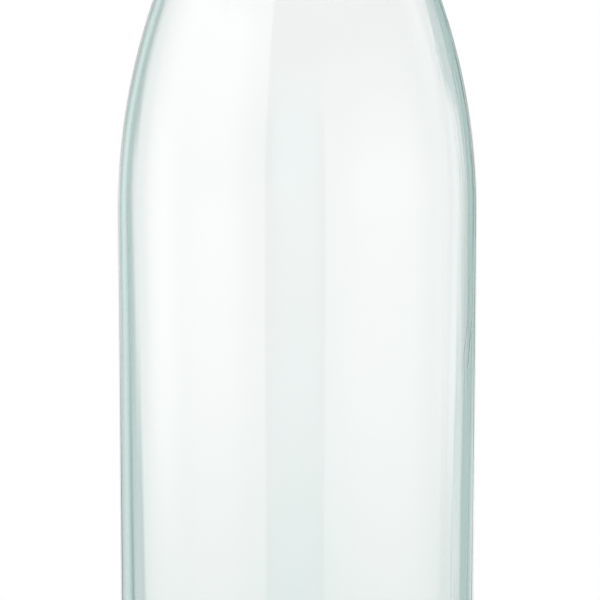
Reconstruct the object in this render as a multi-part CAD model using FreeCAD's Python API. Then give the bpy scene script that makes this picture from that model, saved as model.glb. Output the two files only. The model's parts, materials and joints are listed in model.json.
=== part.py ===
"""One-litre swing-top growler, drawn in millimetres.

+Z is up. The origin is the middle of the ring that the bottle stands on. The front, where the
thumb loop hangs, faces -Y, and the two pivots of the closure lie on +X and -X.
Running this file writes one STEP file per node into parts/.
"""
import FreeCAD, Part
import math
import os

V = FreeCAD.Vector
AXIS_X = V(1, 0, 0)
AXIS_Z = V(0, 0, 1)

# Glass: body and shoulder
body_r = 44.0            # widest radius, just where the shoulder begins
shoulder_z = 148.0       # height of that widest ring
body_draft = 0.516       # the body narrows towards the base by this many degrees
shoulder_arc = 159.5     # radius of the long convex shoulder
wall = 2.75              # wall of the body and the shoulder
heel_r = 9.0             # rounding from body to base
bearing_in = 31.0        # inner edge of the flat ring that the bottle stands on
punt = 5.0               # rise of the base inside that ring
base_t = 5.5             # glass over the middle of the punt
inner_heel_r = 11.0
inner_dome = 2.0         # rise of the floor inside

# Glass: neck and finish
neck_r = 15.4
neck_root = 30.0         # hollow rounding from shoulder to neck
neck_bore = 11.8
neck_len = 40.0          # from the end of that rounding to the lip
mouth_bore = 9.0
choke_top = 5.0          # the bore narrows from here to choke_low, below the pivots
choke_low = 15.0
lip_r = 14.3
seat_r = 13.05           # groove that holds the collar
seat_play = 0.4          # of the collar in its groove, up and down

# Collar: two bent half bands with flanges
band_t = 1.0
band_h = 12.0
band_bend = 1.5
band_gap = 1.0           # slot between the flanges
flange_y = 23.6
screw_y = 19.3
boss_r = 3.4
boss_x = 16.3            # outer face of a pivot boss
screw_r = 1.95           # M4
screw_head_r = 3.7
screw_head_h = 2.6
nut_flats = 7.0
nut_h = 3.2

# Closure: an over-centre lever, a bail and a stopper
pivot_drop = 16.0        # pivots below the lip
crank = 12.0             # pivot to bail eye
over_centre = 7.0        # degrees by which the closed lever has passed dead centre
bar_rise = 9.0           # the bail's cross-bar above the lip
lever_w = 1.4            # radius of the lever's wire
bail_w = 1.25            # radius of the bail's wire
bend_r = 2.0             # centre-line radius of the lever's cranks
bail_bend = 5.0
loop_bend = 13.0
loop_len = 32.0          # bail eye to the far side of the thumb loop
loop_tilt = 50.0         # degrees from straight down
run_fit = 0.07           # radial play of a wire in its hole or eye
seal_gap = 0.15          # gasket over the lip before it is pressed down
gasket_t = 3.5
stopper_r = 12.5
stopper_h = 13.0

# Derived sizes
draft = math.radians(body_draft)
arc_centre_r = body_r - shoulder_arc


def fillet_height(neck, root, arc):
    """Height over the widest ring at which the neck's rounding meets the neck."""
    return math.sqrt((arc + root) ** 2 - (neck + root - arc_centre_r) ** 2)


neck_z = shoulder_z + fillet_height(neck_r, neck_root, shoulder_arc)
lip_z = neck_z + neck_len
pivot_z = lip_z - pivot_drop
bar_z = lip_z + bar_rise
seat_low = pivot_z - band_h / 2 - seat_play
seat_high = pivot_z + band_h / 2 + seat_play

lever_in = boss_x + bend_r + 0.1
bail_x = lever_in + bend_r + bail_w + 0.1
lever_out = bail_x + bail_w + bend_r + 0.1
eye_r = lever_w + bail_w + run_fit

pivot = V(0, 0, pivot_z)
eye = V(0, crank * math.sin(math.radians(over_centre)),
        pivot_z - crank * math.cos(math.radians(over_centre)))
bar = V(0, 0, bar_z)


def rz(r, z):
    """A point of a section that will be turned about Z."""
    return V(r, 0, z)


def line(a, b):
    return Part.LineSegment(a, b).toShape()


def arc(centre, radius, start, end):
    """An arc in the XZ plane from one angle to another, in degrees from +X towards +Z."""
    angles = (start, (start + end) / 2, end)
    points = []
    for a in angles:
        t = math.radians(a)
        points.append(centre + V(math.cos(t), 0, math.sin(t)) * radius)
    return Part.Arc(*points).toShape()


def joined(edges):
    """Close the gaps between edges given in order with straight lines, and fill the outline."""
    chain = []
    for i, edge in enumerate(edges):
        chain.append(edge)
        here = edge.valueAt(edge.LastParameter)
        following = edges[(i + 1) % len(edges)]
        there = following.valueAt(following.FirstParameter)
        if here.distanceToPoint(there) > 1e-6:
            chain.append(line(here, there))
    return Part.Face(Part.Wire(Part.__sortEdges__(chain)))


def rounded(corners):
    """A filled outline from (point, corner radius) pairs; a radius of 0 keeps the corner sharp."""
    edges = []
    ends = []
    count = len(corners)
    for i, (p, radius) in enumerate(corners):
        before = (corners[i - 1][0] - p).normalize()
        after = (corners[(i + 1) % count][0] - p).normalize()
        if radius == 0:
            ends.append((p, p))
            continue
        half = before.getAngle(after) / 2
        a = p + before * (radius / math.tan(half))
        b = p + after * (radius / math.tan(half))
        middle = (before + after).normalize()
        centre = p + middle * (radius / math.sin(half))
        edges.append(Part.Arc(a, centre - middle * radius, b).toShape())
        ends.append((a, b))
    for i in range(count):
        a = ends[i][1]
        b = ends[(i + 1) % count][0]
        if a.distanceToPoint(b) > 1e-6:
            edges.append(line(a, b))
    return Part.Face(Part.Wire(Part.__sortEdges__(edges)))


def turned(face):
    return face.revolve(V(0, 0, 0), AXIS_Z, 360)


def rod(a, b, radius):
    return Part.makeCylinder(radius, (b - a).Length, a, b - a)


def bent_wire(points, radii, wire_r):
    """Round wire along straight runs, with one bend radius for each point between the ends."""
    pieces = []
    start = points[0]
    for i, radius in enumerate(radii):
        p = points[i + 1]
        before = (points[i] - p).normalize()
        after = (points[i + 2] - p).normalize()
        half = before.getAngle(after) / 2
        a = p + before * (radius / math.tan(half))
        b = p + after * (radius / math.tan(half))
        centre = p + (before + after).normalize() * (radius / math.sin(half))
        pieces.append(rod(start, a, wire_r))
        pieces.append(curl(a, before * -1, centre, 180 - math.degrees(2 * half), wire_r))
        start = b
    pieces.append(rod(start, points[-1], wire_r))
    return pieces


def curl(start, along, centre, angle, wire_r):
    """A stretch of round wire bent about a centre, beginning at start in the direction along."""
    ring = Part.Face(Part.Wire(Part.makeCircle(wire_r, start, along)))
    return ring.revolve(centre, (start - centre).cross(along), angle)


def one_solid(pieces):
    return pieces[0].multiFuse(pieces[1:]).removeSplitter()


def mirrored(shape):
    return shape.mirror(V(0, 0, 0), AXIS_X)


def outer_edges():
    """The outside of the bottle from the bearing ring to the lip."""
    arc_centre = rz(arc_centre_r, shoulder_z)
    root_centre = rz(neck_r + neck_root, neck_z)
    lean = math.degrees(math.atan2(neck_z - shoulder_z, neck_r + neck_root - arc_centre_r))
    tangent_z = shoulder_z - shoulder_arc * math.sin(draft)
    tangent_r = arc_centre_r + shoulder_arc * math.cos(draft)
    heel_c = tangent_r - (tangent_z - heel_r) * math.tan(draft) - heel_r / math.cos(draft)
    return [
        line(rz(bearing_in, 0), rz(heel_c, 0)),
        arc(rz(heel_c, heel_r), heel_r, -90, -body_draft),
        arc(arc_centre, shoulder_arc, -body_draft, lean),
        arc(root_centre, neck_root, 180 + lean, 180),
        arc(rz(neck_r - 1.2, seat_low - 1.2), 1.2, 0, 90),
        arc(rz(seat_r + 0.5, seat_low + 0.5), 0.5, 270, 180),
        arc(rz(seat_r + 0.5, seat_high - 0.5), 0.5, 180, 90),
        arc(rz(lip_r - 0.8, seat_high + 0.8), 0.8, -90, 0),
        arc(rz(lip_r - 2.2, lip_z - 2.2), 2.2, 0, 90),
    ]


def inner_edges():
    """The inside of the bottle from the lip down to the middle of the floor."""
    inner_arc = shoulder_arc - wall
    inner_root = neck_root + 2.0
    top = shoulder_z + fillet_height(neck_bore, inner_root, inner_arc)
    lean = math.degrees(math.atan2(top - shoulder_z, neck_bore + inner_root - arc_centre_r))
    tangent_z = shoulder_z - inner_arc * math.sin(draft)
    tangent_r = arc_centre_r + inner_arc * math.cos(draft)
    heel_z = punt + base_t - inner_dome + inner_heel_r
    heel_c = tangent_r - (tangent_z - heel_z) * math.tan(draft) - inner_heel_r / math.cos(draft)
    return [
        arc(rz(mouth_bore + 1.0, lip_z - 1.0), 1.0, 90, 180),
        line(rz(mouth_bore, pivot_z - choke_top), rz(neck_bore, pivot_z - choke_low)),
        arc(rz(neck_bore + inner_root, top), inner_root, 180, 180 + lean),
        arc(rz(arc_centre_r, shoulder_z), inner_arc, lean, -body_draft),
        arc(rz(heel_c, heel_z), inner_heel_r, -body_draft, -90),
        dome(heel_c, heel_z - inner_heel_r, inner_dome, 1),
    ]


def dome(rim_r, rim_z, rise, order):
    """A shallow cap over a rim: inwards from the rim for order 1, outwards for order -1."""
    radius = (rim_r ** 2 + rise ** 2) / (2 * rise)
    edge = math.degrees(math.acos(rim_r / radius))
    return arc(rz(0, rim_z + rise - radius), radius, *(edge, 90)[::order])


def glass_bottle():
    return turned(joined(outer_edges() + inner_edges() + [dome(bearing_in, 0, punt, -1)]))


def collar_half():
    """The half band on +X: one strip bent round the neck, out into two flanges."""
    inner = seat_r + 0.05
    outer = inner + band_t
    near = band_gap / 2
    far = near + band_t
    bend_x = far + band_bend
    bend_y = math.sqrt((outer + band_bend) ** 2 - bend_x ** 2)
    lean = math.atan2(bend_y, bend_x)
    turn = (math.pi - lean) / 2

    def at(radius, angle):
        return V(radius * math.cos(angle), radius * math.sin(angle), 0)

    def bend(radius, side, order):
        centre = V(bend_x, bend_y * side, 0)
        points = [centre + at(radius, (lean + math.pi) * side)]
        points.append(centre + at(radius, (math.pi + lean / 2) * side))
        points.append(centre + at(radius, math.pi * side))
        return Part.Arc(*points[::order]).toShape()

    outline = [
        line(V(near, flange_y, 0), V(far, flange_y, 0)),
        bend(band_bend, 1, -1),
        Part.Arc(at(outer, lean), at(outer, 0), at(outer, -lean)).toShape(),
        bend(band_bend, -1, 1),
        line(V(far, -flange_y, 0), V(near, -flange_y, 0)),
        bend(band_bend + band_t, -1, -1),
        Part.Arc(at(inner, -lean), at(inner, 0), at(inner, lean)).toShape(),
        bend(band_bend + band_t, 1, 1),
    ]
    strip = joined(outline).extrude(AXIS_Z * band_h)
    strip.translate(V(0, 0, pivot_z - band_h / 2))
    low = pivot_z - band_h / 2
    high = pivot_z + band_h / 2
    side_view = rounded([(V(0, -flange_y, low), 3), (V(0, flange_y, low), 3),
                         (V(0, flange_y, high), 3), (V(0, -flange_y, high), 3)])
    strip = strip.common(side_view.extrude(AXIS_X * 20))
    boss = Part.makeCylinder(boss_r, boss_x - seat_r, V(seat_r, 0, pivot_z), AXIS_X)
    boss = boss.cut(Part.makeCylinder(inner, band_h, V(0, 0, low)))
    holes = [rod(V(10, 0, pivot_z), V(20, 0, pivot_z), lever_w + run_fit)]
    for y in (-screw_y, screw_y):
        holes.append(rod(V(-1, y, pivot_z), V(4, y, pivot_z), screw_r + 0.15))
    return strip.fuse(boss).removeSplitter().cut(Part.makeCompound(holes))


def screw(y):
    """A pan-head screw along X; its head bears on the flange on -X."""
    face_x = -(band_gap / 2 + band_t)
    top_x = face_x - screw_head_h
    end_x = nut_h + 0.8 - face_x
    head = rounded([(V(face_x, 0, 0), 0), (V(face_x, screw_head_r, 0), 0.3),
                    (V(top_x, screw_head_r, 0), 1.6), (V(top_x, 0, 0), 0)])
    head = head.revolve(V(0, 0, 0), AXIS_X, 360)
    shank = rod(V(face_x - 0.5, 0, 0), V(end_x, 0, 0), screw_r)
    slot = 0.9
    reach = 4.4
    depth = 1.5
    across = Part.makeBox(depth, reach, slot, V(top_x, -reach / 2, -slot / 2))
    down = Part.makeBox(depth, slot, reach, V(top_x, -slot / 2, -reach / 2))
    body = head.fuse(shank).removeSplitter().cut(across.fuse(down))
    body.translate(V(0, y, pivot_z))
    return body


def nut(y):
    """A hex nut with a flat towards the neck and its corners turned off."""
    face_x = band_gap / 2 + band_t
    corner_r = nut_flats / 2 / math.cos(math.radians(30))
    corners = []
    for i in range(7):
        a = math.radians(60 * i)
        corners.append(V(0, math.sin(a), math.cos(a)) * corner_r)
    prism = Part.Face(Part.makePolygon(corners)).extrude(AXIS_X * nut_h)
    bevel_r = nut_flats / 2 + 0.05
    shaper = rounded([(V(0, 0, 0), 0), (V(0, bevel_r, 0), 0), (V(0.5, corner_r + 0.3, 0), 0),
                      (V(nut_h - 0.5, corner_r + 0.3, 0), 0), (V(nut_h, bevel_r, 0), 0),
                      (V(nut_h, 0, 0), 0)])
    shaper = shaper.revolve(V(0, 0, 0), AXIS_X, 360)
    hole = rod(V(-1, 0, 0), V(nut_h + 1, 0, 0), screw_r + 0.05)
    body = prism.common(shaper).cut(hole)
    body.translate(V(face_x, y, pivot_z))
    return body


def lever_wire():
    """One wire: pin, crank, eye pin, arm and thumb loop, then the same again on -X."""
    tilt = math.radians(loop_tilt)
    reach = V(0, -math.sin(tilt), -math.cos(tilt)) * loop_len
    points = [V(boss_x - 1.9, 0, pivot_z), V(lever_in, 0, pivot_z), eye + AXIS_X * lever_in,
              eye + AXIS_X * lever_out, eye + AXIS_X * lever_out + reach, eye + reach]
    half = bent_wire(points, [bend_r, bend_r, bend_r, loop_bend], lever_w)
    return one_solid(half + [mirrored(piece) for piece in half])


def bail_wire():
    """One wire: a curled eye, a leg, the cross-bar through the stopper, a leg and an eye."""
    span = bar - eye
    lean = math.asin(eye_r / span.Length)
    to_bar = math.atan2(span.y, span.z)
    touch = eye + V(0, math.cos(to_bar - lean), -math.sin(to_bar - lean)) * eye_r
    foot = touch + AXIS_X * bail_x
    centre = eye + AXIS_X * bail_x
    leg = bent_wire([foot, bar + AXIS_X * bail_x, bar], [bail_bend], bail_w)
    half = leg + [curl(foot, touch - bar, centre, 268, bail_w)]
    return one_solid(half + [mirrored(piece) for piece in half])


def stopper():
    under = lip_z + seal_gap + gasket_t
    top = under + stopper_h
    section = rounded([
        (rz(0, lip_z - 3.8), 0),
        (rz(6.6, lip_z - 3.8), 1.6),
        (rz(6.6, lip_z - 0.5), 0.6),
        (rz(5.0, lip_z - 0.5), 0),
        (rz(5.0, under), 0),
        (rz(stopper_r - 0.6, under), 1.0),
        (rz(stopper_r, under + 6.0), 5.0),
        (rz(stopper_r - 1.6, top), 6.0),
        (rz(0, top), 0),
    ])
    hole = rod(V(-20, 0, bar_z), V(20, 0, bar_z), bail_w + run_fit)
    return turned(section).cut(hole)


def gasket():
    """A flat washer whose inner part dips into the mouth."""
    low = lip_z + seal_gap
    section = rounded([
        (rz(5.05, lip_z - 0.4), 0),
        (rz(8.2, lip_z - 0.4), 0.4),
        (rz(8.8, low), 0),
        (rz(11.2, low), 0.6),
        (rz(11.2, low + gasket_t), 0.8),
        (rz(5.05, low + gasket_t), 0),
    ])
    return turned(section)


right = collar_half()
nodes = {
    "glass_bottle": glass_bottle(),
    "collar_half_right": right,
    "collar_half_left": mirrored(right),
    "collar_screws": Part.makeCompound([screw(-screw_y), screw(screw_y)]),
    "collar_nuts": Part.makeCompound([nut(-screw_y), nut(screw_y)]),
    "lever_wire": lever_wire(),
    "bail_wire": bail_wire(),
    "stopper": stopper(),
    "gasket": gasket(),
}

os.makedirs("parts", exist_ok=True)
for name, shape in nodes.items():
    shape.exportStep("parts/%s.step" % name)
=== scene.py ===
"""Builds a one-litre clear glass growler with its wire closure, in a pale studio."""

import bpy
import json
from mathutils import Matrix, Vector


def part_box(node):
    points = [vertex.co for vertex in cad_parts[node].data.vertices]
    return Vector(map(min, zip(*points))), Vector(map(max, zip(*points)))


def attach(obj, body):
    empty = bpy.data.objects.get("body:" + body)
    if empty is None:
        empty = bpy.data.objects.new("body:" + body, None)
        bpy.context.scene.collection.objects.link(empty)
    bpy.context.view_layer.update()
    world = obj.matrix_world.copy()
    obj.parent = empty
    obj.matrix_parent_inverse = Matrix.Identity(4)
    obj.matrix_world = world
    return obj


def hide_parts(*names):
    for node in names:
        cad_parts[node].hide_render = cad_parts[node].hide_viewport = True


bl_info = {
    "name": "Swing-top growler",
    "version": (1, 0, 0),
    "blender": (4, 5, 0),
    "location": "3D View > Sidebar > Growler",
    "description": "Builds a clear glass growler, its collar, wires and stopper, and a pale studio",
    "category": "Add Mesh",
}

import bmesh
import bpy
import json
import math
from mathutils import Vector

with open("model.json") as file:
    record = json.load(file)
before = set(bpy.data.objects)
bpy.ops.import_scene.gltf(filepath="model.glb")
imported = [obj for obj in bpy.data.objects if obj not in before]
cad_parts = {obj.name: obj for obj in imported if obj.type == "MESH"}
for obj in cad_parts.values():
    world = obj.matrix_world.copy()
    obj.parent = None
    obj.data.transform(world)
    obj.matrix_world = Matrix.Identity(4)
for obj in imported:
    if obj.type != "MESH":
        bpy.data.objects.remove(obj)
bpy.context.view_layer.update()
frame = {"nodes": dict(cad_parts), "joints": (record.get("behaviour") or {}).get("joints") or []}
MM = 0.001
LIP_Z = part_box("glass_bottle")[1].z
BODY_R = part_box("glass_bottle")[1].x
JOINTS = {joint["name"]: Vector(joint["pos_m"]) for joint in frame["joints"]}
PIVOT = JOINTS["lever_hinge"]
EYE = JOINTS["bail_hinge"]
BAR = JOINTS["stopper_swivel"]


# ---------------------------------------------------------------- sizes and colours

def length(name, description, millimetres):
    return bpy.props.FloatProperty(
        name=name, description=description, default=millimetres * MM, min=0, precision=5,
        subtype="DISTANCE", unit="LENGTH")


def angle(name, description, degrees):
    return bpy.props.FloatProperty(
        name=name, description=description, default=math.radians(degrees), subtype="ANGLE",
        unit="ROTATION")


def linear(hex_colour):
    """An sRGB hex colour as the linear values that shaders take."""
    channels = []
    for i in (1, 3, 5):
        c = int(hex_colour[i:i + 2], 16) / 255
        channels.append(c / 12.92 if c <= 0.04045 else ((c + 0.055) / 1.055) ** 2.4)
    return channels


def solid(hex_colour):
    """An sRGB hex colour as linear values with full opacity, as colour sockets take it."""
    return (*linear(hex_colour), 1)


def colour(name, description, hex_colour):
    return bpy.props.FloatVectorProperty(
        name=name, description=description, default=linear(hex_colour), size=3, min=0, max=1,
        subtype="COLOR")


class GrowlerGlass(bpy.types.PropertyGroup):
    """The bottle's shape and the marks that moulding leaves on it."""

    shoulder_z: length("Shoulder height", "Height of the widest ring", 148)
    draft: angle("Draft", "How much the body narrows towards the base", 0.516)
    shoulder_arc: length("Shoulder radius", "Radius of the long convex shoulder", 159.5)
    wall: length("Wall", "Thickness of body and shoulder", 2.75)
    heel: length("Heel", "Rounding from body to base", 9)
    inner_heel: length("Inner heel", "Rounding from wall to floor inside", 11)
    foot: length("Foot", "Inner radius of the ring it stands on", 31)
    punt: length("Punt", "Rise of the base inside that ring", 5)
    base: length("Base", "Glass over the middle of the punt", 5.5)
    neck: length("Neck", "Outer radius of the neck", 15.4)
    neck_root: length("Neck root", "Hollow rounding from shoulder to neck", 30)
    bore: length("Neck bore", "Inner radius of the neck", 11.8)
    mouth: length("Mouth", "Inner radius at the lip", 9)
    lip: length("Lip", "Outer radius of the lip ring", 14.3)
    seat: length("Collar seat", "Radius of the groove under the lip ring", 13.05)
    seat_low: length("Seat start", "Seat's lower edge below the pivots", 6.4)
    seat_high: length("Seat end", "Seat's upper edge above the pivots", 6.4)
    seam: length("Seam height", "How far the mould's parting line stands out", 0.07)
    seam_w: length("Seam width", "Half the width of that line", 0.9)
    knurl: length("Knurl depth", "Depth of the grip marks on the foot", 0.25)
    knurls: bpy.props.IntProperty(name="Knurls", description="Marks round the foot", default=90)
    wander: length("Wall wander", "How much the wall's thickness wanders", 0.30)
    settling: bpy.props.FloatProperty(
        name="Settling", description="How fast the wall thickens towards the base", default=0.009)
    streak: length("Streaks", "Depth of the drawn streaks inside the wall", 0.05)


class GrowlerClosure(bpy.types.PropertyGroup):
    """Wires, stopper and gasket."""

    lever_wire: length("Lever wire", "Radius of the lever's wire", 1.4)
    bail_wire: length("Bail wire", "Radius of the bail's wire", 1.25)
    crank_bend: length("Crank bend", "Centre-line radius of the cranks", 2)
    loop_bend: length("Loop bend", "Radius of the thumb loop's corners", 13)
    bail_bend: length("Bail bend", "Radius of the bail's corners", 5)
    play: length("Play", "Gap round a wire in its eye", 0.07)
    stopper_r: length("Stopper", "Radius of the stopper's head", 12.5)
    stem_r: length("Stem", "Radius of the stem that holds the gasket", 5)
    thread_pitch: length("Thread pitch", "Pitch of the M4 screws", 0.7)
    edge: length("Edge", "Rounding of the collar's sheared edges", 0.14)


class GrowlerStudio(bpy.types.PropertyGroup):
    """Camera, floor and light."""

    distance: length("Camera distance", "From the bottle's axis", 2000)
    framed: length("Framed height", "Height that fills the frame at the axis", 146.98)
    aim_drop: length("Aim drop", "Middle of the frame below the widest ring", 21.76)
    aim_side: length("Aim side", "Middle of the frame to the right of the axis", 0.68)
    tent: length("Tent", "Radius of the light tent", 800)
    floor: colour("Floor", "Pale matt floor", "#ece9ea")


# ---------------------------------------------------------------- helpers

def node(tree, kind, inputs=(), **settings):
    """Adds a node; inputs maps a socket's name or number to a value or to another socket."""
    made = tree.nodes.new(kind)
    for name, value in settings.items():
        setattr(made, name, value)
    for key, value in dict(inputs).items():
        socket = made.inputs[key]
        if isinstance(value, bpy.types.NodeSocket):
            tree.links.new(value, socket)
        else:
            socket.default_value = value
    return made


def new_shader(name, **principled):
    """A node material with its Principled shader's sockets set by name."""
    material = bpy.data.materials.new(name)
    material.use_nodes = True
    shader = material.node_tree.nodes["Principled BSDF"]
    for key, value in principled.items():
        shader.inputs[key.replace("_", " ")].default_value = value
    return material, material.node_tree, shader


def object_pattern(tree, scale):
    """Object coordinates, stretched: scale is in features per metre along X, Y and Z."""
    place = node(tree, "ShaderNodeTexCoord").outputs["Object"]
    return node(tree, "ShaderNodeMapping", {"Vector": place, "Scale": scale}).outputs["Vector"]


def noise(tree, scale, detail):
    """Noise on object coordinates, its scale in features per metre."""
    return node(tree, "ShaderNodeTexNoise", {
        "Vector": object_pattern(tree, scale), "Scale": 1.0, "Detail": detail}).outputs["Fac"]


def roughened(tree, shader, pattern, smooth, rough):
    """Lets a pattern vary the roughness between two values."""
    shine = node(tree, "ShaderNodeMapRange", {"Value": pattern, "To Min": smooth, "To Max": rough})
    tree.links.new(shine.outputs["Result"], shader.inputs["Roughness"])


def embossed(tree, shader, pattern, strength, depth):
    """Lets a pattern stand out from the surface as bump."""
    bump = node(tree, "ShaderNodeBump", {
        "Height": pattern, "Strength": strength, "Distance": depth})
    tree.links.new(bump.outputs["Normal"], shader.inputs["Normal"])


def mixed(tree, share, one, other, label=""):
    """A colour between two others, each given as a socket or as values."""
    return node(tree, "ShaderNodeMix", {"Factor": share, "A": one, "B": other},
                data_type="RGBA", label=label).outputs["Result"]


def smooth_step(tree, value, low, high, least=0.0):
    """Rises smoothly from least to 1 as the value goes from low to high."""
    return node(tree, "ShaderNodeMapRange", {
        "Value": value, "From Min": low, "From Max": high, "To Min": least},
        interpolation_type="SMOOTHSTEP").outputs["Result"]


def times(tree, *values):
    """The product of numbers or sockets."""
    product = values[0]
    for value in values[1:]:
        product = node(tree, "ShaderNodeMath", {0: product, 1: value},
                       operation="MULTIPLY").outputs[0]
    return product


def spread(tree, place):
    """A place's horizontal part: the vector away from the axis."""
    return node(tree, "ShaderNodeVectorMath", {0: place, 1: (1, 1, 0)},
                operation="MULTIPLY").outputs["Vector"]


def new_object(name, mesh):
    piece = bpy.data.objects.new(name, mesh)
    bpy.context.scene.collection.objects.link(piece)
    return piece


def mesh_from(name, verts, faces, edges=()):
    mesh = bpy.data.meshes.new(name)
    mesh.from_pydata(verts, edges, faces)
    mesh.update()
    return mesh


def shade_smooth(mesh):
    mesh.polygons.foreach_set("use_smooth", [True] * len(mesh.polygons))


def settle(piece, body, slot, *nodes):
    """Turns a piece into a plain mesh, rides it on its body and hides the CAD nodes it takes the
    place of.
    """
    bpy.context.view_layer.update()
    seen = piece.evaluated_get(bpy.context.evaluated_depsgraph_get())
    piece.data = bpy.data.meshes.new_from_object(seen)
    piece.modifiers.clear()
    piece.data.name = piece.name
    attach(piece, body)
    if nodes:
        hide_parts(*nodes)


class Outline:
    """A section of a turned shape, in radius and height, laid down point by point."""

    def __init__(self, r, z, step):
        self.points = [(r, z)]
        self.step = step

    def line(self, r, z, guard=0.15 * MM):
        """A straight run. Points close to both ends keep the shading of a bend off it."""
        r0, z0 = self.points[-1]
        reach = math.hypot(r - r0, z - z0)
        if reach < 1e-7:
            return self
        shares = []
        if reach > 4 * guard:
            count = math.ceil(reach / self.step)
            shares = [guard / reach] + [i / count for i in range(1, count)] + [1 - guard / reach]
        for t in shares + [1]:
            self.points.append((r0 + (r - r0) * t, z0 + (z - z0) * t))
        return self

    def arc(self, r, z, radius, start, end):
        """A round stretch about (r, z), from one angle to another, with a line up to it."""
        self.line(r + radius * math.cos(start), z + radius * math.sin(start))
        fine = max(4, math.ceil(abs(end - start) / math.radians(12)))
        count = max(fine, math.ceil(abs(end - start) * radius / self.step))
        for i in range(1, count + 1):
            a = start + (end - start) * i / count
            self.points.append((r + radius * math.cos(a), z + radius * math.sin(a)))
        return self


def turned(name, points, segments):
    """Turns an outline about Z. It may begin or end on the axis; otherwise it is a closed ring."""
    on_axis = points[0][0] < 1e-9
    verts = []
    rings = []
    for r, z in points:
        if r < 1e-9:
            rings.append([len(verts)] * segments)
            verts.append((0, 0, z))
            continue
        rings.append(list(range(len(verts), len(verts) + segments)))
        for i in range(segments):
            a = 2 * math.pi * i / segments
            verts.append((r * math.cos(a), r * math.sin(a), z))
    if not on_axis:
        rings.append(rings[0])
    faces = []
    for low, high in zip(rings, rings[1:]):
        for i in range(segments):
            j = (i + 1) % segments
            corners = (low[i], low[j], high[j], high[i])
            faces.append(tuple(dict.fromkeys(corners)))
    mesh = mesh_from(name, verts, faces)
    shade_smooth(mesh)
    return mesh


def open_ring(name, points, segments):
    """An outline turned about Z as an open sheet, its faces towards the axis."""
    verts = []
    for r, z in points:
        for i in range(segments):
            a = 2 * math.pi * i / segments
            verts.append((r * math.cos(a), r * math.sin(a), z))
    faces = []
    for low in range(0, len(verts) - segments, segments):
        for i in range(segments):
            j = (i + 1) % segments
            faces.append((low + j, low + i, low + segments + i, low + segments + j))
    return mesh_from(name, verts, faces)


def cad_copy(name, source, edge, material):
    """A CAD node's shape as a new piece, its triangles joined and its edges rounded."""
    mesh = frame["nodes"][source].data.copy()
    shape = bmesh.new()
    shape.from_mesh(mesh)
    bmesh.ops.remove_doubles(shape, verts=shape.verts, dist=0.002 * MM)
    bmesh.ops.dissolve_limit(
        shape, angle_limit=math.radians(0.5), verts=shape.verts, edges=shape.edges)
    shape.to_mesh(mesh)
    shape.free()
    mesh.materials.clear()
    mesh.materials.append(material)
    shade_smooth(mesh)
    piece = new_object(name, mesh)
    round_edges(piece, edge)
    return piece


def round_edges(piece, edge):
    bevel = piece.modifiers.new("Edges", "BEVEL")
    bevel.width = edge
    bevel.segments = 3
    bevel.limit_method = "ANGLE"
    bevel.angle_limit = math.radians(40)
    bevel.harden_normals = True


def new_tree(name, sockets):
    """A geometry node tree with a Geometry input and the named inputs that follow it."""
    tree = bpy.data.node_groups.new(name, "GeometryNodeTree")
    tree.interface.new_socket("Geometry", in_out="INPUT", socket_type="NodeSocketGeometry")
    tree.interface.new_socket("Geometry", in_out="OUTPUT", socket_type="NodeSocketGeometry")
    for label, kind in sockets.items():
        tree.interface.new_socket(label, in_out="INPUT", socket_type="NodeSocket" + kind)
    return tree, tree.nodes.new("NodeGroupInput").outputs


def point_value(tree, name):
    """Reads a number that mark has laid on the mesh's points."""
    return node(tree, "GeometryNodeInputNamedAttribute", {"Name": name},
                data_type="FLOAT").outputs["Attribute"]


def close_tree(tree, geometry, material):
    whole = node(tree, "GeometryNodeRealizeInstances", {0: geometry}).outputs[0]
    dressed = node(tree, "GeometryNodeSetMaterial", {"Geometry": whole, "Material": material})
    node(tree, "NodeGroupOutput", {0: dressed.outputs[0]})


def run_tree(piece, tree, values):
    """Puts a tree on a piece, with each input set by the identifier of its socket."""
    modifier = piece.modifiers.new(tree.name, "NODES")
    modifier.node_group = tree
    for item in tree.interface.items_tree:
        if item.in_out == "INPUT" and item.name in values:
            modifier[item.identifier] = values[item.name]


# ---------------------------------------------------------------- materials

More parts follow.
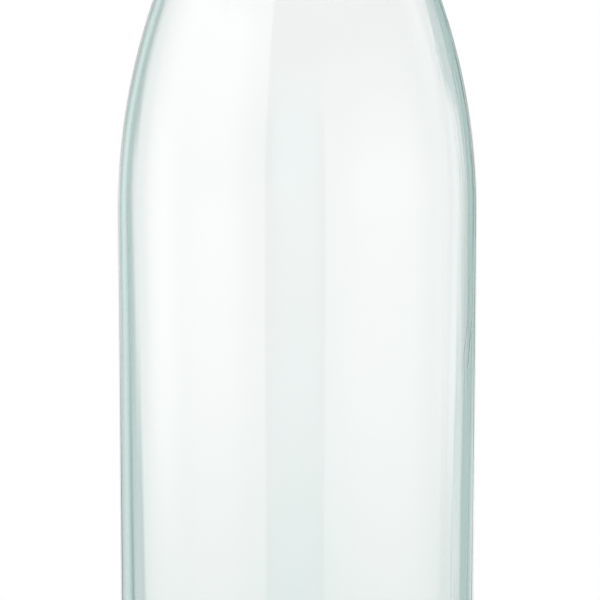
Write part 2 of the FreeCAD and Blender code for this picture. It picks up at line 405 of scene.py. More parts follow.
def container_glass():
    """Clear soda-lime container glass, blown in a mould and fire-polished. Iron leaves a faint
    green, seen best along the wall. The skin has faint upright waves 1.4 mm wide from the mould,
    stronger on the right, and one short hairline cord near the right-hand edge."""
    material, tree, shader = new_shader(
        "soda_lime_container_glass", Transmission_Weight=1.0, IOR=1.52, Roughness=0.0,
        Base_Color=(1, 1, 1, 1))
    place = node(tree, "ShaderNodeTexCoord").outputs["Object"]
    apart = node(tree, "ShaderNodeSeparateXYZ", {0: place}).outputs

    waves = noise(tree, (700, 700, 9), 2.0)
    waves = times(tree, waves, smooth_step(tree, apart["X"], 15 * MM, 42 * MM, 0.12))
    skin = node(tree, "ShaderNodeBump", {
        "Height": waves, "Strength": 1.0, "Distance": 0.012 * MM}).outputs["Normal"]

    # The cord climbs the outer skin from low to high, and turns about the axis as it climbs.
    cord_low, cord_high = 108 * MM, 122 * MM
    turn = node(tree, "ShaderNodeMath", {
        0: apart["X"], 1: times(tree, apart["Y"], -1.0)}, operation="ARCTAN2").outputs[0]
    path = node(tree, "ShaderNodeMapRange", {
        "Value": apart["Z"], "From Min": cord_low, "From Max": cord_high,
        "To Min": math.radians(71.5), "To Max": math.radians(76.8)}).outputs["Result"]
    aside = node(tree, "ShaderNodeMath", {0: turn, 1: path}, operation="SUBTRACT").outputs[0]
    aside = node(tree, "ShaderNodeMath", {0: aside}, operation="ABSOLUTE").outputs[0]
    reach = node(tree, "ShaderNodeVectorMath", {0: spread(tree, place)}, operation="LENGTH")
    cord = times(
        tree, smooth_step(tree, aside, math.radians(0.55), 0.0),
        smooth_step(tree, apart["Z"], cord_low - MM, cord_low + 4 * MM),
        smooth_step(tree, apart["Z"], cord_high + MM, cord_high - 4 * MM),
        smooth_step(tree, reach.outputs["Value"], BODY_R - 1.4 * MM, BODY_R - 0.8 * MM))
    normal = node(tree, "ShaderNodeBump", {
        "Height": cord, "Normal": skin, "Strength": 1.0, "Distance": 0.05 * MM}).outputs["Normal"]
    tree.links.new(normal, shader.inputs["Normal"])

    tint = node(tree, "ShaderNodeVolumeAbsorption", {
        "Color": (0.48, 0.82, 0.70, 1), "Density": 11.0})
    tree.links.new(tint.outputs[0], tree.nodes["Material Output"].inputs["Volume"])
    return material


def stainless_strip():
    """Cold-rolled stainless strip, brushed along its length, so that lines 0.2 mm wide run round
    the neck."""
    material, tree, shader = new_shader(
        "stainless_strip_brushed", Metallic=1.0, Base_Color=solid("#c9c6c1"))
    lines = noise(tree, (60, 60, 5000), 4.0)
    roughened(tree, shader, lines, 0.2, 0.42)
    embossed(tree, shader, lines, 0.15, 0.02 * MM)
    return material


def stainless_wire():
    """Hard-drawn stainless wire: bright, with faint dull patches about 3 mm across, left by the
    die and the bending."""
    material, tree, shader = new_shader(
        "stainless_wire_drawn", Metallic=1.0, Base_Color=solid("#cfcdc9"))
    patches = noise(tree, (300, 300, 300), 2.0)
    roughened(tree, shader, patches, 0.14, 0.30)
    embossed(tree, shader, patches, 0.03, 0.02 * MM)
    return material


def stainless_fastener():
    """Cold-headed stainless screws and nuts, tumbled: soft sheen with nicks under 0.7 mm wide."""
    material, tree, shader = new_shader(
        "stainless_fastener_tumbled", Metallic=1.0, Base_Color=solid("#c2c0bc"))
    nicks = noise(tree, (1500, 1500, 1500), 6.0)
    roughened(tree, shader, nicks, 0.22, 0.45)
    embossed(tree, shader, nicks, 0.2, 0.03 * MM)
    return material


def glazed_porcelain():
    """White porcelain under a clear gloss glaze: slightly warm, clouded over about 11 mm, with
    sparse iron specks and the gentle orange-peel, 1.4 mm across, of a fired glaze."""
    material, tree, shader = new_shader(
        "glazed_porcelain", IOR=1.5, Roughness=0.09, Coat_Weight=0.6, Coat_Roughness=0.03)
    body = mixed(tree, noise(tree, (90, 90, 90), 3.0), solid("#f4f1ea"), solid("#e9e5db"))
    dots = node(tree, "ShaderNodeTexVoronoi", {
        "Vector": object_pattern(tree, (450, 450, 450)), "Scale": 1.0}).outputs["Distance"]
    speck = node(tree, "ShaderNodeMapRange", {
        "Value": dots, "From Min": 0.03, "From Max": 0.07, "To Min": 0.45, "To Max": 0.0})
    fired = mixed(tree, speck.outputs["Result"], body, solid("#8d7a63"))
    tree.links.new(fired, shader.inputs["Base Color"])
    embossed(tree, shader, noise(tree, (700, 700, 700), 1.0), 0.12, 0.04 * MM)
    return material


def moulded_rubber():
    """Soft red natural rubber, pressed in a mould: matt, with a dusty bloom in patches of about
    6 mm and a grain of 0.4 mm."""
    material, tree, shader = new_shader("natural_rubber_moulded", IOR=1.52)
    bloom = noise(tree, (180, 180, 180), 4.0)
    dusty = mixed(tree, bloom, solid("#a23a26"), solid("#b4503a"))
    tree.links.new(dusty, shader.inputs["Base Color"])
    roughened(tree, shader, bloom, 0.5, 0.75)
    embossed(tree, shader, noise(tree, (2500, 2500, 2500), 4.0), 0.3, 0.05 * MM)
    return material


# ---------------------------------------------------------------- the bottle

def bottle_outline(s):
    """The whole wall in section: out from the punt, up the outside, over the lip and down inside.
    Returns the points, and the number of them that lie outside."""
    right = math.pi / 2
    arc_r = BODY_R - s.shoulder_arc
    rise = math.sqrt((s.shoulder_arc + s.neck_root) ** 2 - (s.neck + s.neck_root - arc_r) ** 2)
    lean = math.atan2(rise, s.neck + s.neck_root - arc_r)
    waist_z = s.shoulder_z - s.shoulder_arc * math.sin(s.draft)
    waist_r = arc_r + s.shoulder_arc * math.cos(s.draft)
    heel_r = waist_r - (waist_z - s.heel) * math.tan(s.draft) - s.heel / math.cos(s.draft)
    dome = (s.foot ** 2 + s.punt ** 2) / (2 * s.punt)
    rim = math.acos(s.foot / dome)
    low = PIVOT.z - s.seat_low
    high = PIVOT.z + s.seat_high
    small = 0.5 * MM
    edge = 0.8 * MM
    brim = 2.2 * MM
    ledge = 1.2 * MM
    line = Outline(0, s.punt, 3.2 * MM)
    line.arc(0, s.punt - dome, dome, right, rim)
    line.line(heel_r, 0)
    line.arc(heel_r, s.heel, s.heel, -right, -s.draft)
    line.arc(arc_r, s.shoulder_z, s.shoulder_arc, -s.draft, lean)
    line.arc(s.neck + s.neck_root, s.shoulder_z + rise, s.neck_root, math.pi + lean, math.pi)
    line.arc(s.neck - ledge, low - ledge, ledge, 0, right)
    line.arc(s.seat + small, low + small, small, 3 * right, 2 * right)
    line.arc(s.seat + small, high - small, small, 2 * right, right)
    line.arc(s.lip - edge, high + edge, edge, -right, 0)
    line.arc(s.lip - brim, LIP_Z - brim, brim, 0, right)
    outside = len(line.points)

    inner_arc = s.shoulder_arc - s.wall
    inner_root = s.neck_root + 2 * MM
    inner_rise = math.sqrt((inner_arc + inner_root) ** 2 - (s.bore + inner_root - arc_r) ** 2)
    inner_lean = math.atan2(inner_rise, s.bore + inner_root - arc_r)
    waist_z = s.shoulder_z - inner_arc * math.sin(s.draft)
    waist_r = arc_r + inner_arc * math.cos(s.draft)
    floor_rise = 2 * MM
    floor_z = s.punt + s.base - floor_rise
    well_z = floor_z + s.inner_heel
    well_r = waist_r - (waist_z - well_z) * math.tan(s.draft) - s.inner_heel / math.cos(s.draft)
    floor_arc = (well_r ** 2 + floor_rise ** 2) / (2 * floor_rise)
    line.arc(s.mouth + MM, LIP_Z - MM, MM, right, 2 * right)
    throat_top, throat_foot = PIVOT.z - 5 * MM, PIVOT.z - 15 * MM
    line.line(s.mouth, throat_top)
    line.line(s.bore, throat_foot)
    line.arc(s.bore + inner_root, s.shoulder_z + inner_rise, inner_root, 2 * right,
             2 * right + inner_lean)
    line.arc(arc_r, s.shoulder_z, inner_arc, inner_lean, -s.draft)
    line.arc(well_r, well_z, s.inner_heel, -s.draft, -right)
    line.arc(0, floor_z + floor_rise - floor_arc, floor_arc, math.acos(well_r / floor_arc), right)
    return line.points, outside


def uneven_glass():
    """Parting line, foot knurls and the uneven wall that blowing leaves, as moves of the points.
    Broad thick and thin places are about 36 mm wide and 70 mm tall, drawn streaks 2 mm wide and
    80 mm tall. The wall has its nominal thickness 100 mm up."""
    tree, ins = new_tree("uneven_glass", {
        "Seam Height": "Float", "Seam Width": "Float", "Knurl Depth": "Float", "Knurls": "Int",
        "Wander": "Float", "Streak": "Float", "Settling": "Float", "Seed": "Float",
        "Material": "Material"})

    def math_node(operation, *values, **settings):
        return node(tree, "ShaderNodeMath", dict(enumerate(values)), operation=operation,
                    **settings).outputs[0]

    place = node(tree, "GeometryNodeInputPosition").outputs[0]
    apart = node(tree, "ShaderNodeSeparateXYZ", {0: place}).outputs
    turn = math_node("ARCTAN2", apart["Y"], apart["X"])
    masks = {label: point_value(tree, label) for label in ("outside", "inside", "foot")}
    flat = node(tree, "ShaderNodeCombineXYZ", {"X": apart["X"], "Y": apart["Y"]}).outputs[0]
    out = node(tree, "ShaderNodeVectorMath", {0: flat}, operation="NORMALIZE").outputs[0]

    off_seam = math_node("DIVIDE", math_node("ABSOLUTE", apart["Y"]), ins["Seam Width"])
    ridge = math_node("SUBTRACT", 1.0, off_seam, use_clamp=True)
    seam = math_node("MULTIPLY", math_node("MULTIPLY", ridge, ins["Seam Height"]), masks["outside"])

    def wall_noise(round_scale, up_scale, detail):
        """Noise that changes quickly round the wall and slowly up it."""
        scale = node(tree, "ShaderNodeCombineXYZ", {
            "X": round_scale, "Y": round_scale, "Z": up_scale}).outputs[0]
        spot = node(tree, "ShaderNodeVectorMath", {0: place, 1: scale}, operation="MULTIPLY")
        noise = node(tree, "ShaderNodeTexNoise", {
            "Vector": spot.outputs[0], "W": ins["Seed"], "Scale": 1.0, "Detail": detail},
            noise_dimensions="4D").outputs[0]
        return math_node("SUBTRACT", noise, 0.5)

    broad = math_node("MULTIPLY", wall_noise(28.0, 14.0, 0.0), ins["Wander"])
    drawn = math_node("MULTIPLY", wall_noise(450.0, 12.0, 1.0), ins["Streak"])
    side = node(tree, "ShaderNodeSeparateXYZ", {0: out}).outputs["X"]
    share = node(tree, "ShaderNodeMapRange", {
        "Value": side, "From Min": 0.3, "From Max": 0.9, "To Min": 0.15, "To Max": 1.0}).outputs[0]
    inner = math_node("ADD", broad, math_node("MULTIPLY", drawn, share))
    above = math_node("SUBTRACT", apart["Z"], 100 * MM)
    settled = math_node("MULTIPLY", above, ins["Settling"])
    inner = math_node("MULTIPLY", math_node("ADD", inner, settled), masks["inside"])

    wave = math_node("COSINE", math_node("MULTIPLY", turn, ins["Knurls"]))
    groove = math_node("MULTIPLY_ADD", wave, 0.5, 0.5)
    groove = math_node("MULTIPLY", math_node("MULTIPLY", groove, ins["Knurl Depth"]), masks["foot"])

    sideways = node(tree, "ShaderNodeVectorMath", {
        0: out, "Scale": math_node("ADD", seam, inner)}, operation="SCALE").outputs[0]
    upwards = node(tree, "ShaderNodeCombineXYZ", {"Z": groove}).outputs[0]
    move = node(tree, "ShaderNodeVectorMath", {0: sideways, 1: upwards}, operation="ADD").outputs[0]
    moved = node(tree, "GeometryNodeSetPosition", {"Geometry": ins["Geometry"], "Offset": move})
    close_tree(tree, moved.outputs[0], ins["Material"])
    return tree


def mark(mesh, name, values):
    layer = mesh.attributes.new(name, "FLOAT", "POINT")
    layer.data.foreach_set("value", values)


class GROWLER_OT_bottle(bpy.types.Operator):
    """Build the glass bottle, with its seams, knurled foot and uneven wall"""

    bl_idname = "growler.bottle"
    bl_label = "Bottle"

    def execute(self, context):
        s = context.scene.growler_glass
        segments = 360
        true_end = 18 * MM    # the wall is left even this near to the foot and to the lever's axis
        points, outside = bottle_outline(s)
        mesh = turned("glass_bottle_blown", points, segments)
        outer, inner, foot = [], [], []
        fade = 6 * MM
        for i, (r, z) in enumerate(points):
            is_outer = i < outside
            below_neck = max(0, (PIVOT.z - true_end - z) / (4 * fade))
            above_foot = max(0, (z - true_end) / fade)
            depth = min(1, below_neck, above_foot)
            count = 1 if r < 1e-9 else segments
            outer += [1.0 if is_outer and z > s.heel / 2 else 0.0] * count
            inner += [0.0 if is_outer else depth] * count
            foot += [1.0 if is_outer and z < 0.6 * MM and r > s.foot * 0.99 else 0.0] * count
        mark(mesh, "outside", outer)
        mark(mesh, "inside", inner)
        mark(mesh, "foot", foot)
        piece = new_object("glass_bottle_blown", mesh)
        run_tree(piece, uneven_glass(), {
            "Seam Height": s.seam, "Seam Width": s.seam_w, "Knurl Depth": s.knurl,
            "Knurls": s.knurls, "Wander": s.wander, "Streak": s.streak,
            "Settling": s.settling, "Seed": 3.0, "Material": container_glass()})
        settle(piece, "bottle", "glass", "glass_bottle")
        return {"FINISHED"}


# ---------------------------------------------------------------- collar and fasteners

class GROWLER_OT_collar(bpy.types.Operator):
    """Build the two halves of the neck band"""

    bl_idname = "growler.collar"
    bl_label = "Collar"

    def execute(self, context):
        steel = stainless_strip()
        for side in ("left", "right"):
            source = "collar_half_" + side
            piece = cad_copy(source + "_formed", source, context.scene.growler_closure.edge, steel)
            settle(piece, "bottle", "band", source)
        return {"FINISHED"}


def thread_tree():
    """A round-crested thread, wound about X at every point of the geometry it is given."""
    tree, ins = new_tree("screw_thread", {
        "Radius": "Float", "Crest": "Float", "Turns": "Float", "Length": "Float",
        "Material": "Material"})
    helix = node(tree, "GeometryNodeCurveSpiral", {
        "Resolution": 24, "Rotations": ins["Turns"], "Start Radius": ins["Radius"],
        "End Radius": ins["Radius"], "Height": ins["Length"]}).outputs[0]
    crest = node(tree, "GeometryNodeCurvePrimitiveCircle", {
        "Resolution": 6, "Radius": ins["Crest"]}).outputs[0]
    wound = node(tree, "GeometryNodeCurveToMesh", {
        "Curve": helix, "Profile Curve": crest, "Fill Caps": True}).outputs[0]
    along_x = node(tree, "GeometryNodeTransform", {
        "Geometry": wound, "Rotation": (0.0, math.pi / 2, 0.0)}).outputs[0]
    placed = node(tree, "GeometryNodeInstanceOnPoints", {
        "Points": ins["Geometry"], "Instance": along_x}).outputs[0]
    smooth = node(tree, "GeometryNodeSetShadeSmooth", {0: placed}).outputs[0]
    close_tree(tree, smooth, ins["Material"])
    return tree


class GROWLER_OT_fasteners(bpy.types.Operator):
    """Build the two screws with their threads, and the two nuts"""

    bl_idname = "growler.fasteners"
    bl_label = "Screws and nuts"

    def execute(self, context):
        s = context.scene.growler_closure
        steel = stainless_fastener()
        low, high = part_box("collar_screws")
        major = 1.95 * MM
        core = 1.62 * MM
        head_r = (high.z - low.z) / 2
        shank_start = -1.3 * MM
        screw_y = high.y - head_r
        screws = cad_copy("collar_screws_headed", "collar_screws", 0.1 * MM, steel)
        for vert in screws.data.vertices:
            axis = Vector((vert.co.x, math.copysign(screw_y, vert.co.y), PIVOT.z))
            spoke = vert.co - axis
            if vert.co.x > shank_start and spoke.length < major * 1.01:
                vert.co = axis + spoke * (core / major)
        settle(screws, "bottle", "fastener", "collar_screws")

        run = high.x - shank_start - 0.6 * MM
        starts = [(shank_start, -screw_y, PIVOT.z), (shank_start, screw_y, PIVOT.z)]
        threads = new_object("collar_screw_threads", mesh_from("threads", starts, []))
        run_tree(threads, thread_tree(), {
            "Radius": core - 0.02 * MM, "Crest": major - core, "Turns": run / s.thread_pitch,
            "Length": run, "Material": steel})
        settle(threads, "bottle", "fastener")

        nuts = cad_copy("collar_nuts_cold_formed", "collar_nuts", 0.08 * MM, steel)
        settle(nuts, "bottle", "fastener", "collar_nuts")
        return {"FINISHED"}


# ---------------------------------------------------------------- wires

def wire_tree():
    """Round wire along a chain of points: each corner is bent to its own radius."""
    tree, ins = new_tree("bent_wire", {"Wire Radius": "Float", "Material": "Material"})
    path = node(tree, "GeometryNodeMeshToCurve", {0: ins["Geometry"]}).outputs[0]
    bend = point_value(tree, "bend")
    swell = point_value(tree, "swell")
    bent = node(tree, "GeometryNodeFilletCurve", {
        "Curve": path, "Count": 14, "Radius": bend, "Limit Radius": True}, mode="POLY").outputs[0]
    ends = node(tree, "GeometryNodeSetCurveRadius", {"Curve": bent, "Radius": swell}).outputs[0]
    section = node(tree, "GeometryNodeCurvePrimitiveCircle", {
        "Resolution": 28, "Radius": ins["Wire Radius"]}).outputs[0]
    tube = node(tree, "GeometryNodeCurveToMesh", {
        "Curve": ends, "Profile Curve": section, "Fill Caps": True}).outputs[0]
    smooth = node(tree, "GeometryNodeSetShadeSmooth", {0: tube}).outputs[0]
    close_tree(tree, smooth, ins["Material"])
    return tree


def eased_end(tip, inward, radius):
    """Points and widths that round a cut wire's end, from the tip inwards."""
    stages = ((0.0, 0.62), (0.12, 0.86), (0.3, 0.97), (0.55, 1.0))
    return [(tip + inward * (radius * depth), 0.0, width) for depth, width in stages]


def both_sides(half):
    """Adds the mirror image of a half wire, whose last point is the middle of its bridge."""
    other = [(Vector((-p.x, p.y, p.z)), bend, swell) for p, bend, swell in reversed(half[:-1])]
    return half + other


def wire_piece(name, stations, radius, material, body, source):
    verts = [p for p, bend, swell in stations]
    edges = [(i, i + 1) for i in range(len(verts) - 1)]
    mesh = mesh_from(name, verts, [], edges)
    mark(mesh, "bend", [bend for p, bend, swell in stations])
    mark(mesh, "swell", [swell for p, bend, swell in stations])
    piece = new_object(name, mesh)
    tree = bpy.data.node_groups.get("bent_wire") or wire_tree()
    run_tree(piece, tree, {"Wire Radius": radius, "Material": material})
    settle(piece, body, "wire", source)


class GROWLER_OT_wires(bpy.types.Operator):
    """Build the lever with its thumb loop, and the bail that carries the stopper"""

    bl_idname = "growler.wires"
    bl_label = "Wires"

    def execute(self, context):
        s = context.scene.growler_closure
        steel = stainless_wire()
        x_axis = Vector((1, 0, 0))
        lever_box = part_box("lever_wire")
        bail_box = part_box("bail_wire")
        eye_r = s.lever_wire + s.bail_wire + s.play
        bail_x = bail_box[1].x - s.bail_wire
        arm_x = lever_box[1].x - s.lever_wire
        crank_x = 2 * bail_x - arm_x
        pin_x = 14.4 * MM
        loop = Vector((0, lever_box[0].y + s.lever_wire, lever_box[0].z + s.lever_wire))

        pin = Vector((pin_x, 0, PIVOT.z))
        half = eased_end(pin, x_axis, s.lever_wire)
        for corner, bend in (
                (PIVOT + x_axis * crank_x, s.crank_bend), (EYE + x_axis * crank_x, s.crank_bend),
                (EYE + x_axis * arm_x, s.crank_bend), (loop + x_axis * arm_x, s.loop_bend),
                (loop, 0.0)):
            half.append((corner, bend, 1.0))
        wire_piece("lever_wire_drawn", both_sides(half), s.lever_wire, steel, "lever", "lever_wire")

        span = BAR - EYE
        lean = math.asin(eye_r / span.length)
        start = math.atan2(span.y, span.z) - lean
        curl = math.radians(268)
        count = 36

        def round_eye(turn):
            a = start - turn
            return Vector((bail_x, EYE.y + eye_r * math.cos(a), EYE.z - eye_r * math.sin(a)))

        tip = round_eye(curl)
        inward = (round_eye(curl - 0.02) - tip).normalized()
        half = eased_end(tip, inward, s.bail_wire)[:3]
        for i in range(2, count + 1):
            half.append((round_eye(curl * (1 - i / count)), 0.0, 1.0))
        half.append((BAR + x_axis * bail_x, s.bail_bend, 1.0))
        half.append((BAR, 0.0, 1.0))
        wire_piece("bail_wire_drawn", both_sides(half), s.bail_wire, steel, "bail", "bail_wire")
        return {"FINISHED"}


# ---------------------------------------------------------------- stopper and gasket

class GROWLER_OT_stopper(bpy.types.Operator):
    """Build the porcelain stopper and its rubber gasket"""

    bl_idname = "growler.stopper"
    bl_label = "Stopper and gasket"

    def execute(self, context):
        s = context.scene.growler_closure
        right = math.pi / 2
        low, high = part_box("stopper")
        gasket_low, gasket_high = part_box("gasket")
        knob = 6.6 * MM
        head_z = gasket_high.z
        crown = 7 * MM
        flare = 1.4 * MM
        crown_r = s.stopper_r - flare
        line = Outline(0, low.z, 1.2 * MM)
        line.arc(knob - 1.6 * MM, low.z + 1.6 * MM, 1.6 * MM, -right, 0)
        line.arc(knob - 0.6 * MM, LIP_Z - 1.1 * MM, 0.6 * MM, 0, right)
        line.line(s.stem_r, LIP_Z - 0.5 * MM)
        line.line(s.stem_r, head_z)
        line.arc(s.stopper_r - MM, head_z + MM, MM, -right, 0)
        line.line(s.stopper_r, head_z + 4 * MM)
        line.line(crown_r + 0.35 * MM, high.z - crown)
        line.arc(crown_r - crown + 0.35 * MM, high.z - crown, crown, 0, right)
        line.line(0, high.z)
        piece = new_object("stopper_glazed", turned("stopper_glazed", line.points, 128))
        reach = 20 * MM
        bore = bmesh.new()
        bmesh.ops.create_cone(
            bore, cap_ends=True, segments=48, radius1=s.bail_wire + s.play,
            radius2=s.bail_wire + s.play, depth=2 * reach)
        for vert in bore.verts:
            vert.co = Vector((vert.co.z, vert.co.x, vert.co.y)) + BAR
        cutter_mesh = bpy.data.meshes.new("bore")
        bore.to_mesh(cutter_mesh)
        bore.free()
        cutter = new_object("bore", cutter_mesh)
        cut = piece.modifiers.new("Bore", "BOOLEAN")
        cut.object = cutter
        cut.operation = "DIFFERENCE"
        cut.solver = "EXACT"
        round_edges(piece, 0.35 * MM)
        piece.data.materials.append(glazed_porcelain())
        settle(piece, "closure", "porcelain", "stopper")
        bpy.data.objects.remove(cutter)

        inner = s.stem_r + 0.05 * MM
        outer = gasket_high.x
        seat_z = LIP_Z + 0.15 * MM
        ring = Outline(inner, gasket_high.z, 0.7 * MM)
        ring.line(inner, gasket_low.z, 0.05 * MM)
        ring.arc(7.8 * MM, gasket_low.z + 0.4 * MM, 0.4 * MM, -right, -right / 2)
        ring.line(8.8 * MM, seat_z, 0.05 * MM)
        ring.arc(outer - 0.6 * MM, seat_z + 0.6 * MM, 0.6 * MM, -right, 0)
        ring.arc(outer, seat_z + 1.7 * MM, 0.12 * MM, -right, right)
        ring.arc(outer - 0.8 * MM, gasket_high.z - 0.8 * MM, 0.8 * MM, 0, right)
        washer = new_object("gasket_moulded", turned("gasket_moulded", ring.points, 128))
        washer.data.materials.append(moulded_rubber())
        settle(washer, "closure", "rubber", "gasket")
        return {"FINISHED"}


# ---------------------------------------------------------------- studio

def studio_world():
    """Plain white behind everything for the camera, and a pale ceiling over the tent."""
    world = bpy.data.worlds.new("pale_studio")
    world.use_nodes = True
    tree = world.node_tree
    tree.nodes.clear()
    rays = node(tree, "ShaderNodeLightPath").outputs["Is Camera Ray"]
    seen = mixed(tree, rays, (0.85, 0.87, 0.87, 1), (1, 1, 1, 1))
    light = node(tree, "ShaderNodeBackground", {"Color": seen, "Strength": 1.0})
    node(tree, "ShaderNodeOutputWorld", {"Surface": light.outputs[0]})
    return world


SHADE = (0.62, 1.0, 0.93)    # the room's blue-green, as shares of white
BARE_CLOTH = 0.36            # how bright the tent is between the patches
BACKDROP = 0.97              # how bright the screen behind the bottle is

# Soft patches of light on the tent, each laid over those before it: name, direction in degrees
# from straight behind the bottle (towards +X is positive), half width and soft edge in degrees,
# where it starts and ends in height with a soft edge, in millimetres, how bright it is, and how
# much of the room's blue-green it takes on, where more than 1 is more than the room has.
PATCHES = (
    ("overhead_gap", 180, 110, 30, 560, 2000, 90, 0.12, 1.0),
    ("right_front_fill", 166, 14, 8, -900, 420, 120, 0.56, 0.8),
    ("centre_fill", 180, 14, 6, 140, 440, 110, 0.80, 0.8),
    ("low_centre_gap", 172, 22, 8, -900, 70, 60, 0.46, 1.77),
    ("left_side_fill", -96, 34, 12, -900, 520, 90, 0.92, 0.1),
    ("left_front_fill", -140, 20, 1, -900, 2000, 50, 0.92, 0.1),
    ("left_strip", -62, 14, 8, -900, 2000, 50, 0.85, 0.2),
    ("left_softbox", -110, 36, 16, 40, 725, 98, 1.5, 0.0),
    ("right_strip", 60, 20, 14, -900, 2000, 50, 0.8, 0.2),
    ("right_octabox", 122, 24, 20, 150, 420, 90, 0.72, 0.0),
    ("low_right_reflector", 92, 46, 24, -900, 50, 35, 0.55, 0.3),
    ("left_wing_shade", -29, 10, 3, -900, 2000, 50, 0.6, 0.6),
    ("left_wing", -30, 5, 3, -900, 2000, 50, 0.85, 0.4),
    ("right_wing", 28, 12, 4, -900, 2000, 50, 0.6, 0.6),
    ("screen", -1.2, 18.0, 2.5, -900, 2000, 50, BACKDROP, 0.0),
    ("screen_foot", -1.2, 18.0, 2.5, -900, 30, 70, 0.88, 0.1),
    ("left_foot_shade", -18, 2.6, 1.2, -900, 80, 40, 0.55, 0.5),
    ("left_top_shade", -18, 2.6, 1.5, 185, 2000, 20, 0.6, 0.4),
    ("right_foot_fill", 20, 2.5, 1.5, -900, 70, 35, 0.9, 0.2),
    ("right_top_shade", 14.5, 3.5, 1.5, 205, 2000, 12, 0.6, 0.4),
)


def tent_light():
    """White diffuser cloth that glows by itself, in soft patches like those that lamps outside it
    would leave.
    """
    material = bpy.data.materials.new("tent_diffuser_cloth")
    material.use_nodes = True
    tree = material.node_tree
    tree.nodes.clear()
    place = node(tree, "ShaderNodeTexCoord").outputs["Object"]
    height = node(tree, "ShaderNodeSeparateXYZ", {0: place}).outputs["Z"]
    way = node(tree, "ShaderNodeVectorMath", {0: spread(tree, place)},
               operation="NORMALIZE").outputs["Vector"]

    def shaded(level, share):
        return [level * (1 - share + share * c) for c in SHADE] + [1]

    glow = shaded(BARE_CLOTH, 1.0)
    for name, direction, half, edge, low, high, rise, bright, shade in PATCHES:
        turn = math.radians(direction)
        along = node(tree, "ShaderNodeVectorMath", {0: way, 1: (math.sin(turn), math.cos(turn), 0)},
                     operation="DOT_PRODUCT").outputs["Value"]
        off = node(tree, "ShaderNodeMath", {0: along}, operation="ARCCOSINE").outputs[0]
        share = times(
            tree, smooth_step(tree, off, math.radians(half + edge), math.radians(half - edge)),
            smooth_step(tree, height, (low - rise) * MM, (low + rise) * MM),
            smooth_step(tree, height, (high + rise) * MM, (high - rise) * MM))
        glow = mixed(tree, share, glow, shaded(bright, shade), name)
    # Seen straight through the glass, no patch is brighter than the backdrop.
    path = node(tree, "ShaderNodeLightPath").outputs
    direct = node(tree, "ShaderNodeMath", {0: path["Glossy Depth"], 1: 0.5}, operation="LESS_THAN")
    calm = node(tree, "ShaderNodeVectorMath", {0: glow, 1: [BACKDROP] * 3}, operation="MINIMUM")
    glow = mixed(tree, direct.outputs[0], glow, calm.outputs[0], "straight_through_the_glass")
    light = node(tree, "ShaderNodeEmission", {"Color": glow, "Strength": 1.0})
    node(tree, "ShaderNodeOutputMaterial", {"Surface": light.outputs[0]})
    return material


FLOOR_R = 760 * MM


def paper_floor(floor_colour):
    """Matt white paper that fades out towards its rim, so that it ends nowhere in particular."""
    material, tree, shader = new_shader("matt_paper_floor", Roughness=0.9)
    place = node(tree, "ShaderNodeTexCoord").outputs["Object"]
    fibres = node(tree, "ShaderNodeTexNoise", {"Vector": place, "Scale": 900.0, "Detail": 3.0})
    tone = mixed(tree, fibres.outputs["Fac"], (*floor_colour, 1),
                 (*(0.96 * c for c in floor_colour), 1))
    tree.links.new(tone, shader.inputs["Base Color"])
    reach = node(tree, "ShaderNodeVectorMath", {0: place}, operation="LENGTH").outputs["Value"]
    tree.links.new(smooth_step(tree, reach, FLOOR_R - 10 * MM, 200 * MM), shader.inputs["Alpha"])
    return material


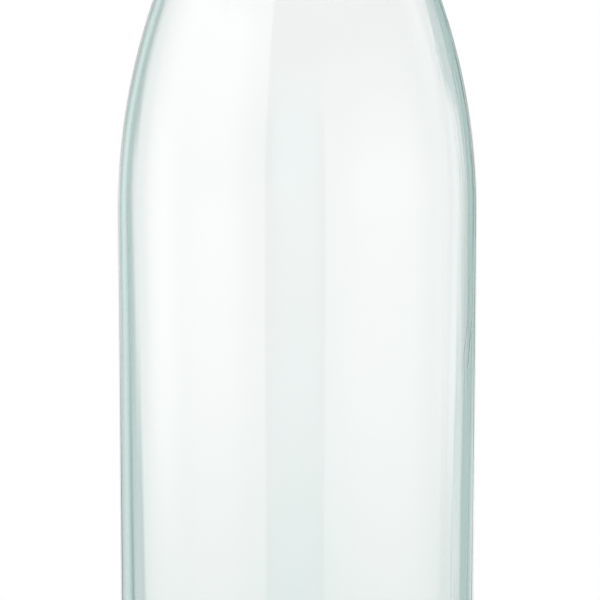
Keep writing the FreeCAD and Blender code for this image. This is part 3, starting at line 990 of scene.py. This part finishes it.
class GROWLER_OT_studio(bpy.types.Operator):
    """Build the floor, the light and the camera"""

    bl_idname = "growler.studio"
    bl_label = "Studio"

    def execute(self, context):
        scene = context.scene
        s = scene.growler_studio
        scene.world = studio_world()
        scene.view_settings.view_transform = "Standard"

        disc = bmesh.new()
        bmesh.ops.create_circle(disc, cap_ends=True, segments=96, radius=FLOOR_R)
        mesh = bpy.data.meshes.new("floor")
        disc.to_mesh(mesh)
        disc.free()
        mesh.materials.append(paper_floor(s.floor))
        new_object("floor", mesh)

        mesh = open_ring("light_tent", [(s.tent, -600 * MM), (s.tent, 1200 * MM)], 128)
        mesh.materials.append(tent_light())
        tent = new_object("light_tent", mesh)
        tent.visible_camera = False

        lamp = bpy.data.lights.new("overhead_softbox", "AREA")
        lamp.shape = "DISK"
        lamp.size = 0.9
        lamp.energy = 9.0
        above = bpy.data.objects.new("overhead_softbox", lamp)
        above.location = (0.1, -0.1, 1.3)
        above.visible_camera = False
        scene.collection.objects.link(above)

        camera = bpy.data.cameras.new("camera")
        camera.sensor_width = 36
        camera.lens = camera.sensor_width * s.distance / s.framed
        camera.clip_start = 0.05
        camera.clip_end = 20
        view = bpy.data.objects.new("camera", camera)
        glass = scene.growler_glass
        view.location = (s.aim_side, -s.distance, glass.shoulder_z - s.aim_drop)
        view.rotation_euler = (math.pi / 2, 0, 0)
        scene.collection.objects.link(view)
        scene.camera = view
        return {"FINISHED"}


# ---------------------------------------------------------------- add-on

class GROWLER_PT_build(bpy.types.Panel):
    """The growler's pieces, in the order they are built"""

    bl_label = "Growler"
    bl_idname = "GROWLER_PT_build"
    bl_space_type = "VIEW_3D"
    bl_region_type = "UI"
    bl_category = "Growler"

    def draw(self, context):
        layout = self.layout
        for operator in OPERATORS:
            layout.operator(operator.bl_idname)
        for name in GROUPS:
            group = getattr(context.scene, name)
            box = layout.box()
            box.label(text=group.bl_rna.name)
            for key in group.__annotations__:
                box.prop(group, key)


OPERATORS = (GROWLER_OT_bottle, GROWLER_OT_collar, GROWLER_OT_fasteners, GROWLER_OT_wires,
             GROWLER_OT_stopper, GROWLER_OT_studio)
GROUPS = {"growler_glass": GrowlerGlass, "growler_closure": GrowlerClosure,
          "growler_studio": GrowlerStudio}


def register():
    for cls in (*GROUPS.values(), *OPERATORS, GROWLER_PT_build):
        bpy.utils.register_class(cls)
    for name, group in GROUPS.items():
        setattr(bpy.types.Scene, name, bpy.props.PointerProperty(type=group))


def unregister():
    for name in GROUPS:
        delattr(bpy.types.Scene, name)
    for cls in (GROWLER_PT_build, *reversed(OPERATORS), *reversed(GROUPS.values())):
        bpy.utils.unregister_class(cls)


def main():
    register()
    bpy.ops.growler.bottle()
    bpy.ops.growler.collar()
    bpy.ops.growler.fasteners()
    bpy.ops.growler.wires()
    bpy.ops.growler.stopper()
    bpy.ops.growler.studio()


if __name__ == "__main__":
    main()
